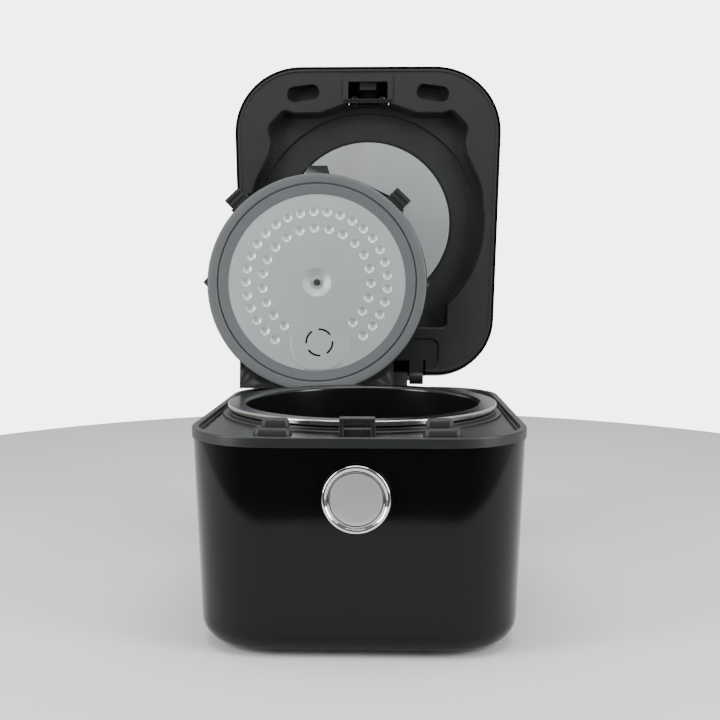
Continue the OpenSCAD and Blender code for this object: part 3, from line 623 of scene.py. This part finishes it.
def refined(node: str, finish: Finish, width: float, segments: int = 3, name: str = "") -> bpy.types.Object:
    """Copies a node's form, cleans it, rounds its edges and lets the copy stand for it.

    Args:
        node: the frame's node.
        finish: the copy's finish.
        width: width of the edge rounding.
        segments: faces in the rounding.
        name: the piece's name, if not made from the node's.

    Returns:
        The piece.
    """
    source = frame["nodes"][node]
    piece = bpy.data.objects.new(name or f"{node}_moulded", source.data.copy())
    bpy.context.scene.collection.objects.link(piece)
    piece.data.materials.clear()
    edit(piece)
    bpy.ops.mesh.remove_doubles(threshold=0.00001)
    bpy.ops.mesh.dissolve_limited(angle_limit=math.radians(1.0))
    clear_bench()
    soften(piece, width, segments)
    return dress(piece, finish, source["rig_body"], node)


# ---- the body ----


@dataclass
class Outline:
    """Plan of the rim: a rounded oblong, a little narrower at the back."""

    front_x: float = 73.0
    back_x: float = 74.5
    front_y: float = -96.75
    back_y: float = 106.75
    front_r: float = 72.0
    back_r: float = 62.0

    def corners(self, inset: float = 0.0) -> list[Corner]:
        """Corners of the plan, brought in.

        Args:
            inset: how far it is brought in.

        Returns:
            The four corners with their roundings, anticlockwise.
        """
        run, rise = self.back_x - self.front_x, self.back_y - self.front_y
        lean = math.asin((self.front_r - self.back_r) / math.hypot(run, rise)) - math.atan2(run, rise)
        reach = math.cos(lean) * self.front_x + math.sin(lean) * self.front_y + self.front_r - inset
        low, high = self.front_y - self.front_r + inset, self.back_y + self.back_r - inset
        wide, slim = ((reach - math.sin(lean) * y) / math.cos(lean) for y in (low, high))
        return [Corner(-wide, low, self.front_r - inset), Corner(wide, low, self.front_r - inset),
                Corner(slim, high, self.back_r - inset), Corner(-slim, high, self.back_r - inset)]

    def face(self, name: str, inset: float = 0.0, segments: int = 18) -> bpy.types.Object:
        """The plan as a flat face."""
        return rounded_face(name, self.corners(inset), segments)


PLAN = Outline()


@dataclass
class Housing:
    """The gloss shell, its underside and what stands in its back."""

    rim_low: float = 180.5
    foot: float = 3.0
    step: float = 1.2
    lean: float = 6.0
    base_r: float = 20.0
    wall: float = 2.5
    dial_z: float = 138.8
    dial_hole: float = 29.4
    inlet: tuple[float, float] = (68.0, 45.0)

    def build(self) -> None:
        """Builds the shell and dresses the pieces under and behind it."""
        rise = self.rim_low - 1 - self.foot - self.base_r
        shell = PLAN.face("shell", self.step)
        climb(shell, [(0, 1), (0.08, 2), (self.lean - 0.16, rise - 4), (0.08, 2), *arc(self.base_r, 12), (8, 0)],
              z=self.rim_low, down=True)
        edit(shell)
        pick(shell, Kind.FACE, lambda face: abs(face.normal.z) > 0.999 and len(face.verts) > 8)
        bpy.ops.mesh.delete(type="FACE")
        clear_bench()
        use_modifier(shell, "SOLIDIFY", thickness=self.wall * MM, offset=-1.0, use_even_offset=True)
        hole = settle(rod("hole", self.dial_hole, -10, 20, turns=96),
                      Matrix.Translation((0, -0.165, self.dial_z * MM)) @ Matrix.Rotation(math.pi / 2, 4, "X"))
        x, z = self.inlet
        carve(shell, hole, block("slot", (x - 13.6, 140, z - 10.1), (x + 13.6, 190, z + 10.1)))
        dress(shell, GLOSS_BLACK, "body", "outer_body", smooth=40)
        refined("base_plate", FINE_BLACK, 0.4, 2)
        refined("feet", FOOT_RUBBER, 0.6, 3)
        refined("inlet_socket", FINE_BLACK, 0.7, 3)
        refined("inlet_pins", BRASS, 0.3, 2)
        refined("base_screws", STEEL, 0.15, 2)


@dataclass
class Deck:
    """The satin frame round the pot: lip, sunk floor, grooves, steps and pads."""

    rim_low: float = 180.5
    rim: float = 189.0
    drop: float = 3.5
    lip: float = 7.0
    mouth_r: float = 117.5
    groove_w: float = 4.0
    groove: tuple[Step, Step] = ((134.5, -104.0), (128.0, 98.0))

    def build(self) -> None:
        """Builds the deck, the striker and the two stops."""
        edge, inner = 1.3, 0.8
        deck = PLAN.face("deck_frame")
        climb(deck, [(0, self.rim - self.rim_low - edge), *arc(edge, 4), (self.lip - edge - inner - 0.9, 0),
                     *arc(inner, 3, over=True), (0.3, -(self.drop - 2 * inner)), *arc(0.6, 2, hollow=True)],
              z=self.rim_low)
        floor = self.rim - self.drop
        for radius, top in ((131, 2.5), (126, 4.9)):
            ring = lathe("step", [Corner(self.mouth_r - 3, floor - 2), Corner(radius, floor - 2),
                                  Corner(radius, floor + top, 1.2), Corner(self.mouth_r - 3, floor + top)], 128)
            carve(deck, ring, add=True)
        cutters = [rod("mouth", self.mouth_r, 170, 200, turns=128), self.hinge_gap(floor)]
        for side in (-1, 1):
            cutters.append(self.groove_cutter(side, floor))
        carve(deck, *cutters)
        for side in (-1, 1):
            pad = climb(rounded_face("pad", oblong(30, 14, 2.5)), [(0, 1.6), *arc(0.9, 3)], z=floor - 1)
            carve(deck, moved(pad, x=side * 33, y=-146.5), add=True)
        soften(deck, 0.35, 2, 40)
        dress(deck, SATIN_BLACK, "body", "deck", smooth=32)
        self.stops(floor)
        refined("striker", SATIN_BLACK, 1.3, 4)
        refined("hinge_housing", SATIN_BLACK, 1.2, 3)

    def hinge_gap(self, floor: float) -> bpy.types.Object:
        """The gap in the lip that the hinge housing stands in."""
        return block("gap", (-44.3, 155.7, floor), (44.3, 216, floor + 20))

    def groove_cutter(self, side: int, floor: float) -> bpy.types.Object:
        """The long drain groove's cutter on one side."""
        (x0, y0), (x1, y1) = self.groove
        length = math.hypot(x1 - x0, y1 - y0) + self.groove_w
        turn = math.degrees(math.atan2(y1 - y0, side * (x1 - x0)))
        bar = climb(rounded_face("groove", oblong(length, self.groove_w, 1.9), 5), [(0, 12)], z=floor - 1.5)
        return moved(bar, x=side * (x0 + x1) / 2, y=(y0 + y1) / 2, turn=turn)

    def stops(self, floor: float) -> None:
        """Two domed stops, each with a smaller dome on it, built once for each side."""
        feet, caps = [], []
        for side in (-1, 1):
            foot = climb(rounded_face("stop", oblong(33, 15, 6.5)), [(0, 2.4), (0.5, 1.2), *arc(4.6, 7)], z=floor)
            cap = climb(rounded_face("cap", oblong(24, 10.5, 4.8)), [(0, 2.2), (0.4, 1.4), *arc(3.8, 7)],
                        z=floor + 8.1)
            feet.append(moved(foot, x=side * 71, y=-140, turn=side * 8))
            caps.append(moved(cap, x=side * 68.5, y=-139, turn=side * 8))
        dress(joined("stop_feet", feet), STOP_RUBBER, "body", "lid_stops", smooth=50)
        dress(joined("stop_domes", caps), STOP_RUBBER, "body", "stop_caps", smooth=50)


@dataclass
class Pot:
    """The lift-out pot: a coated bowl whose flange has a bright bare edge."""

    radius: float = 109.0
    flange: float = 126.5
    top: float = 196.4
    floor: float = 61.4
    wall: float = 2.0
    corner: float = 34.0

    def build(self) -> None:
        """Turns the pot and bares its edge."""
        outer, under = self.radius + self.wall, self.top - 2
        pot = lathe("coated_pot", [
            Corner(0, self.floor - self.wall), Corner(outer, self.floor - self.wall, self.corner + self.wall),
            Corner(outer, under, 1.5), Corner(self.flange - 1.6, under, 0.6), Corner(self.flange - 1.6, under - 2.5),
            Corner(self.flange, under - 2.5, 0.5), Corner(self.flange, self.top, 1.3),
            Corner(self.radius, self.top, 3.2), Corner(self.radius, self.floor, self.corner),
            Corner(0, self.floor)], 160, 10)
        pot.data.materials.append(NONSTICK.material())
        pot.data.materials.append(BRIGHT_EDGE.material())
        for face in pot.data.polygons:
            if math.hypot(face.center.x, face.center.y) > (self.flange - 1.25) * MM:
                face.material_index = 1
        dress(pot, NONSTICK, "pot", "pot", smooth=38)


@dataclass
class Dial:
    """The chrome ring and the spun push button, on an axis that points to the front."""

    z: float = 138.8
    seat_y: float = -167.34
    front_y: float = -173.84
    radius: float = 28.3
    button_r: float = 21.6

    def turned(self, name: str, section: Sequence[Corner]) -> bpy.types.Object:
        """Turns a section about the dial's axis, heights counted forwards from its seat."""
        piece = lathe(name, section, 128, 5)
        return settle(piece, Matrix.Translation((0, self.seat_y * MM, self.z * MM)) @ Matrix.Rotation(math.pi / 2, 4, "X"))

    def build(self) -> None:
        """Builds the ring, the button and the seat round them."""
        front, bore = self.seat_y - self.front_y, self.button_r + 0.8
        ring = self.turned("dial_chrome", [
            Corner(4.5, -0.5), Corner(self.radius, -0.5), Corner(self.radius, front - 0.6, 1.6),
            Corner(self.radius - 2.2, front, 0.8), Corner(bore + 2.4, front - 0.9, 0.7),
            Corner(bore + 1.6, front - 2.4, 0.6), Corner(bore, front - 1.7, 0.5), Corner(bore, 0.8), Corner(4.5, 0.8)])
        dress(ring, CHROME, "dial", "dial_ring", smooth=40)
        button = self.turned("button_disc", [
            Corner(0, 2.2), Corner(self.button_r, 2.2), Corner(self.button_r, front - 1.2, 0.5),
            Corner(self.button_r - 3, front - 1.05, 2), Corner(0, front - 1.0)])
        dress(button, SPUN_FACE, "start_button", "dial_button", smooth=40)
        refined("dial_seat", GLOSS_BLACK, 0.4, 3)


# ---- the lid ----


@dataclass
class Lid:
    """The lid's gloss cover, its liner with the wavy recess, and what is set in them."""

    low: float = 190.0
    height: float = 45.0
    edge: float = 18.0
    wall: float = 2.5
    striker_y: float = -142.55
    button_y: float = -137.55
    recess: float = 22.0
    disc_r: float = 89.7
    steam_y: float = 64.0
    cutout: tuple[float, float] = (63.5, 152.7)

    def wave(self) -> list[Corner]:
        """Outline of the recess's mouth: round, with an ear for each catch and a flat towards the hinge."""
        side = [(24, 130, 12), (53, 119, 14), (80, 119, 14), (93, 123, 9), (112, 103, 9), (108, 88, 14),
                (110, 73, 30), (128, 34, 60), (127, -22, 60), (112, -60, 60), (88, -88, 14), (87, -118.3, 7)]
        right = [Corner(x, -v, r) for x, v, r in side]
        left = [Corner(-x, -v, r) for x, v, r in reversed(side)]
        return left + right

    def build(self) -> None:
        """Builds every piece of the lid."""
        self.cover()
        self.liner()
        self.disc()
        refined("hinge_bracket", SATIN_BLACK, 1.0, 3)
        refined("release_button", FINE_BLACK, 0.8, 3)
        refined("steam_cap", FINE_BLACK, 0.7, 3)
        refined("latch_slide", DARK_STEEL, 0.4, 2)

    def cover(self) -> None:
        """The gloss shell of the lid with its openings."""
        cover = PLAN.face("lid_shell")
        climb(cover, [(0, 1), (0, self.height - self.edge - 2), (0, 1), *arc(self.edge, 12), (1, 0)], z=self.low)
        edit(cover)
        pick(cover, Kind.FACE, lambda face: face.normal.z < -0.9)
        bpy.ops.mesh.delete(type="FACE")
        clear_bench()
        use_modifier(cover, "SOLIDIFY", thickness=self.wall * MM, offset=-1.0, use_even_offset=True)
        x, y = self.cutout
        top = self.low + self.height
        slot = climb(rounded_face("slot", oblong(44.6, 15.6, 5)), [(0, 20)], z=top - 10)
        carve(cover, block("gap", (-x, y, self.low - 5), (x, y + 60, self.low + 20)), moved(slot, y=self.button_y),
              rod("steam", 26.3, top - 10, top + 10, y=self.steam_y))
        dress(cover, GLOSS_BLACK, "lid", "lid_cover", place=Place.OPENED, smooth=40)

    def recess_cutter(self) -> bpy.types.Object:
        """The wavy hollow: a sloping wall down to a ledge, and a round floor deeper in."""
        mouth = climb(rounded_face("mouth", self.wave(), 5), [(0, 4.6), (0.9, 0.9), (1.6, 16.8)], z=self.low - 3)
        well = lathe("well", [Corner(0, self.low - 3), Corner(116, self.low - 3), Corner(122.3, self.low + 14),
                              Corner(122, self.low + self.recess), Corner(0, self.low + self.recess)], 128)
        keep = block("keep", (-140, 118.3, self.low - 10), (140, 180, self.low + 40))
        carve(well, keep)
        carve(mouth, well, add=True)
        return mouth

    def liner(self) -> None:
        """The liner: its border line, recess, latch pocket, hinge gap and sunk hinge panel."""
        liner = PLAN.face("lid_lining", self.wall + 0.1)
        climb(liner, [(0, 23.2), *arc(0.8, 3), (1.6, 0), (0.5, -0.8), *arc(0.3, 1, hollow=True)],
              z=self.low + 24, down=True)
        x, y = self.cutout
        panel = climb(rounded_face("panel", [Corner(-78, 129, 9), Corner(78, 129, 9), Corner(78, 164, 14),
                                             Corner(-78, 164, 14)]), [(0, 4), (1.2, 1.2)], z=self.low - 2.4)
        slot_y = self.striker_y
        frame_bar = block("pocket_frame", (-27, slot_y - 17.4, self.low - 0.8), (27, slot_y + 10.6, self.low + 3))
        carve(liner, frame_bar, add=True)
        carve(liner, self.recess_cutter(), panel,
              block("gap", (-x, y, self.low - 5), (x, y + 60, self.low + 60)),
              block("pocket", (-21.5, slot_y - 9.6, self.low - 5), (21.5, slot_y + 9.6, self.low + 16)),
              block("works", (-26, slot_y - 24, self.low + 3.2), (26, slot_y + 14, self.low + 60)),
              rod("relief", 127.7, self.low - 5, self.low + 7.9, turns=128),
              block("notch", (-20, -127.5, self.low - 5), (20, -100, self.low + 18.7)), *self.stop_pockets(),
              rod("floor", self.disc_r + 2.5, self.low + self.recess - 1, self.low + self.recess + 1, turns=128),
              rod("steam", 16.1, self.low, self.low + 60, y=self.steam_y))
        soften(liner, 1.0, 3, 28)
        dress(liner, FINE_BLACK, "lid", "lid_liner", place=Place.OPENED, smooth=30)

    def stop_pockets(self) -> list[bpy.types.Object]:
        """Pockets that take the two stops when the lid is shut."""
        pockets = [climb(rounded_face("pocket", oblong(35.4, 17.4, 7.7)), [(0, 19.2)], z=self.low - 5) for _ in (0, 1)]
        return [moved(pocket, x=side * 71, y=-140, turn=side * 8) for pocket, side in zip(pockets, (-1, 1))]

    def disc(self) -> None:
        """The plain metal disc in the recess, very slightly crowned, with a rolled edge."""
        back = self.low + self.recess
        disc = lathe("recess_disc", [Corner(0, back - 1.0), Corner(80, back - 0.95, 30), Corner(self.disc_r, back - 0.8, 0.3),
                                     Corner(self.disc_r, back), Corner(0, back)], 128)
        carve(disc, rod("steam", 16.1, back - 6, back + 6, y=self.steam_y))
        dress(disc, DISC, "lid", "lid_disc", place=Place.OPENED)


@dataclass
class InnerLid:
    """The inner lid that is taken off: gasket, frame, catches and the dimpled plate."""

    seat: float = 196.7
    plate_z: float = 199.3
    plate_r: float = 94.0
    gasket_r: float = 116.0
    vent_out: float = 64.0
    vent_r: float = 13.9
    plate_turn: float = 2.8
    dimple_r: float = 4.75
    dimple_depth: float = 1.1
    arch_lean: float = -1.6

    def build(self) -> None:
        """Builds the plate and gasket and dresses the frame and its catches."""
        self.plate()
        self.gasket()
        refined("inner_frame", SATIN_BLACK, 0.7, 2)
        refined("left_catch", SATIN_BLACK, 0.5, 3)
        refined("right_catch", SATIN_BLACK, 0.5, 3)

    def gasket(self) -> None:
        """The grey gasket: a rolled outer band, a dark groove and a sloping inner band."""
        z, r, p = self.seat, self.gasket_r, self.plate_r
        gasket = lathe("grey_gasket", [
            Corner(p, z + 2.1, 0.3), Corner(p, z + 2.55), Corner(p + 1.2, z + 2.55), Corner(p + 1.2, z + 4.2),
            Corner(r, z + 4.2), Corner(r, z + 0.3, 1.4), Corner(r - 4, z, 3), Corner(r - 9.6, z + 0.4, 0.8),
            Corner(r - 10.2, z + 2.6, 0.3), Corner(r - 11.3, z + 2.6, 0.3), Corner(r - 11.8, z + 0.8, 0.6)], 160, 4)
        dress(gasket, GASKET, "inner_lid", "inner_gasket", place=Place.REMOVED, smooth=40)

    def dimples(self) -> bpy.types.Object:
        """Two rows of round dimples, one cutter made once and copied."""
        ball = (self.dimple_r ** 2 + self.dimple_depth ** 2) / (2 * self.dimple_depth)
        clear_bench()
        bpy.ops.mesh.primitive_uv_sphere_add(segments=28, ring_count=36, radius=ball * MM)
        first = bpy.context.object
        edit(first)
        bpy.ops.mesh.bisect(plane_co=(0, 0, 0.5 * ball * MM), plane_no=(0, 0, 1), clear_inner=True, use_fill=True)
        clear_bench()
        spots = [(75.2, 10.9 * k) for k in range(-13, 14)] + [(57.5, 15.65 * k) for k in range(-9, 10)]
        balls = []
        for radius, angle in spots:
            turned = math.radians(angle - 90 - self.plate_turn)
            ball_copy = first.copy()
            ball_copy.data = first.data.copy()
            bpy.context.scene.collection.objects.link(ball_copy)
            ball_copy.location = (radius * math.cos(turned) * MM, radius * math.sin(turned) * MM,
                                  (self.plate_z + self.dimple_depth - ball) * MM)
            balls.append(ball_copy)
        bpy.data.objects.remove(first)
        return settle(joined("dimples", balls), Matrix.Identity(4))

    def plate(self) -> None:
        """The plate: a cup round the pin, the dimples, a faint arch and the four vent slots."""
        z, back = self.plate_z, self.plate_z + 1.7
        plate = lathe("dimpled_plate", [
            Corner(3.4, z + 2.4, 0.4), Corner(7.5, z + 2.3, 5), Corner(15.5, z, 6), Corner(self.plate_r + 0.6, z),
            Corner(self.plate_r + 0.6, back), Corner(18, back), Corner(9, z + 4), Corner(3.4, z + 4)], 160, 8)
        carve(plate, self.dimples())
        turn = math.radians(90 - self.plate_turn)
        vent = Vector((self.vent_out * math.cos(turn), self.vent_out * math.sin(turn), z)) * MM
        arch = lathe("arch", [Corner(0, -0.25), Corner(29.8, -0.25, 3), Corner(34.6, 1.3, 3), Corner(34.6, 1.9),
                              Corner(0, 1.9)], 128, 6)
        settle(arch, Matrix.Translation(vent) @ Matrix.Rotation(math.radians(self.arch_lean), 4, "X"))
        edit(arch)
        bpy.ops.mesh.bisect(plane_co=(0, 92.5 * MM, 0), plane_no=(0, 1, 0), clear_outer=True, use_fill=True)
        clear_bench()
        carve(plate, arch, add=True)
        for index in range(4):
            bar = lathe("slot", [Corner(self.vent_r - 1, -4), Corner(self.vent_r + 1, -4), Corner(self.vent_r + 1, 6),
                                 Corner(self.vent_r - 1, 6)], 16, sweep=62)
            edit(bar)
            pick(bar, Kind.EDGE, lambda edge: edge.is_manifold and abs(edge.verts[0].co.z - edge.verts[1].co.z) > 0.005
                 and abs(edge.calc_face_angle(0)) > 1)
            bpy.ops.mesh.bevel(offset=0.9 * MM, segments=4, profile=0.5)
            clear_bench()
            settle(bar, Matrix.Translation(vent) @ Matrix.Rotation(math.radians(90 * index - 31 - self.plate_turn), 4, "Z"))
            carve(plate, bar)
        dress(plate, PLATE, "inner_lid", "inner_plate", place=Place.REMOVED, smooth=20)


# ---- the works inside, and the studio ----


@dataclass
class Works:
    """Nodes whose form is right as it is and only need their finish."""

    def build(self) -> None:
        """Gives each kept node its finish."""
        finishes = {
            STEEL: "hinge_pin lid_springs sensor_spring disc_screws bracket_screws latch_spring button_spring "
                   "catch_springs carry_pin heater_posts sensor_tube",
            WELL: "pot_well sensor_cap", CAST: "heating_plate", BOARD: "power_board control_board",
            FINE_BLACK: "power_parts push_switch encoder", FOOT_RUBBER: "steam_pipe float_pin", GASKET: "vent_seal"}
        for finish, names in finishes.items():
            for name in names.split():
                node = frame["nodes"][name]
                node.data.materials.clear()
                node.data.materials.append(finish.material())
                LOG.info("%s keeps its form and gets %s", name, finish.name)


@dataclass
class Studio:
    """Pale floor, soft lights and the camera."""

    eye: tuple[float, float, float] = (0.03284, -1.1449, 0.35405)
    pitch: float = 84.07
    yaw: float = 1.75
    lens: float = 61.02

    def build(self) -> None:
        """Sets up the whole studio."""
        self.camera()
        self.floor()
        self.sky()
        self.lamp("top", (0.0, -0.25, 1.5), (0, 0.1, 0.2), 1.1, 0.9, 14)
        self.lamp("left", (-1.3, -0.75, 0.7), (0, 0.05, 0.25), 0.55, 1.2, 22)
        self.lamp("right", (1.3, -0.75, 0.7), (0, 0.05, 0.25), 0.55, 1.2, 22)

    def camera(self) -> None:
        """Places the camera."""
        clear_bench()
        bpy.ops.object.camera_add(location=self.eye, rotation=(math.radians(self.pitch), 0, math.radians(self.yaw)))
        camera = bpy.context.object
        camera.data.lens = self.lens
        camera.data.sensor_width = 36
        bpy.context.scene.camera = camera

    def floor(self) -> None:
        """A pale round floor."""
        clear_bench()
        bpy.ops.mesh.primitive_circle_add(vertices=96, radius=0.9, fill_type="NGON", location=(0, 0.36, 0))
        floor = bpy.context.object
        floor.name = "studio_floor"
        bpy.ops.object.transform_apply(location=True, rotation=True, scale=True)
        floor.data.materials.append(Finish("floor_paper", "", (0.86, 0.86, 0.86), 0.9, tone_spread=0.01,
                                           level=0.1).material())

    def sky(self) -> None:
        """A pale surround that is dim in front, so that gloss faces stay dark there."""
        world = bpy.data.worlds.new("studio_air")
        bpy.context.scene.world = world
        world.use_nodes = True
        nodes, links = world.node_tree.nodes, world.node_tree.links
        back = nodes["Background"]
        split = nodes.new("ShaderNodeSeparateXYZ")
        links.new(nodes.new("ShaderNodeTexCoord").outputs["Generated"], split.inputs["Vector"])
        fade = nodes.new("ShaderNodeMapRange")
        fade.interpolation_type = "SMOOTHSTEP"
        fade.inputs["From Min"].default_value = -0.8
        fade.inputs["From Max"].default_value = 0.3
        fade.inputs["To Min"].default_value = 0.07
        fade.inputs["To Max"].default_value = 0.8
        links.new(split.outputs["Y"], fade.inputs["Value"])
        seen = nodes.new("ShaderNodeLightPath")
        mix = nodes.new("ShaderNodeMix")
        mix.data_type = "FLOAT"
        mix.inputs["B"].default_value = 5.0
        links.new(seen.outputs["Is Camera Ray"], mix.inputs["Factor"])
        links.new(fade.outputs["Result"], mix.inputs["A"])
        links.new(mix.outputs["Result"], back.inputs["Strength"])
        back.inputs["Color"].default_value = (1, 1, 1, 1)

    def lamp(self, name: str, spot: tuple[float, float, float], aim: tuple[float, float, float], width: float,
             height: float, power: float) -> None:
        """A soft rectangular lamp.

        Args:
            name: its name.
            spot: where it stands.
            aim: what it points at.
            width: its width in metres.
            height: its height in metres.
            power: its power in watts.
        """
        clear_bench()
        bpy.ops.object.light_add(type="AREA", location=spot)
        lamp = bpy.context.object
        lamp.name = f"lamp_{name}"
        lamp.data.shape = "RECTANGLE"
        lamp.data.size, lamp.data.size_y, lamp.data.energy = width, height, power
        lamp.rotation_euler = (Vector(aim) - Vector(spot)).to_track_quat("-Z", "Y").to_euler()


def main() -> None:
    """Builds the studio and every sub-assembly."""
    logging.basicConfig(level=logging.INFO, format="%(name)s: %(message)s")
    for part in (Studio(), Housing(), Deck(), Pot(), Dial(), Lid(), InnerLid(), Works()):
        part.build()
        LOG.info("%s done", type(part).__name__)
    clear_bench()


if __name__ == "__main__":
    main()
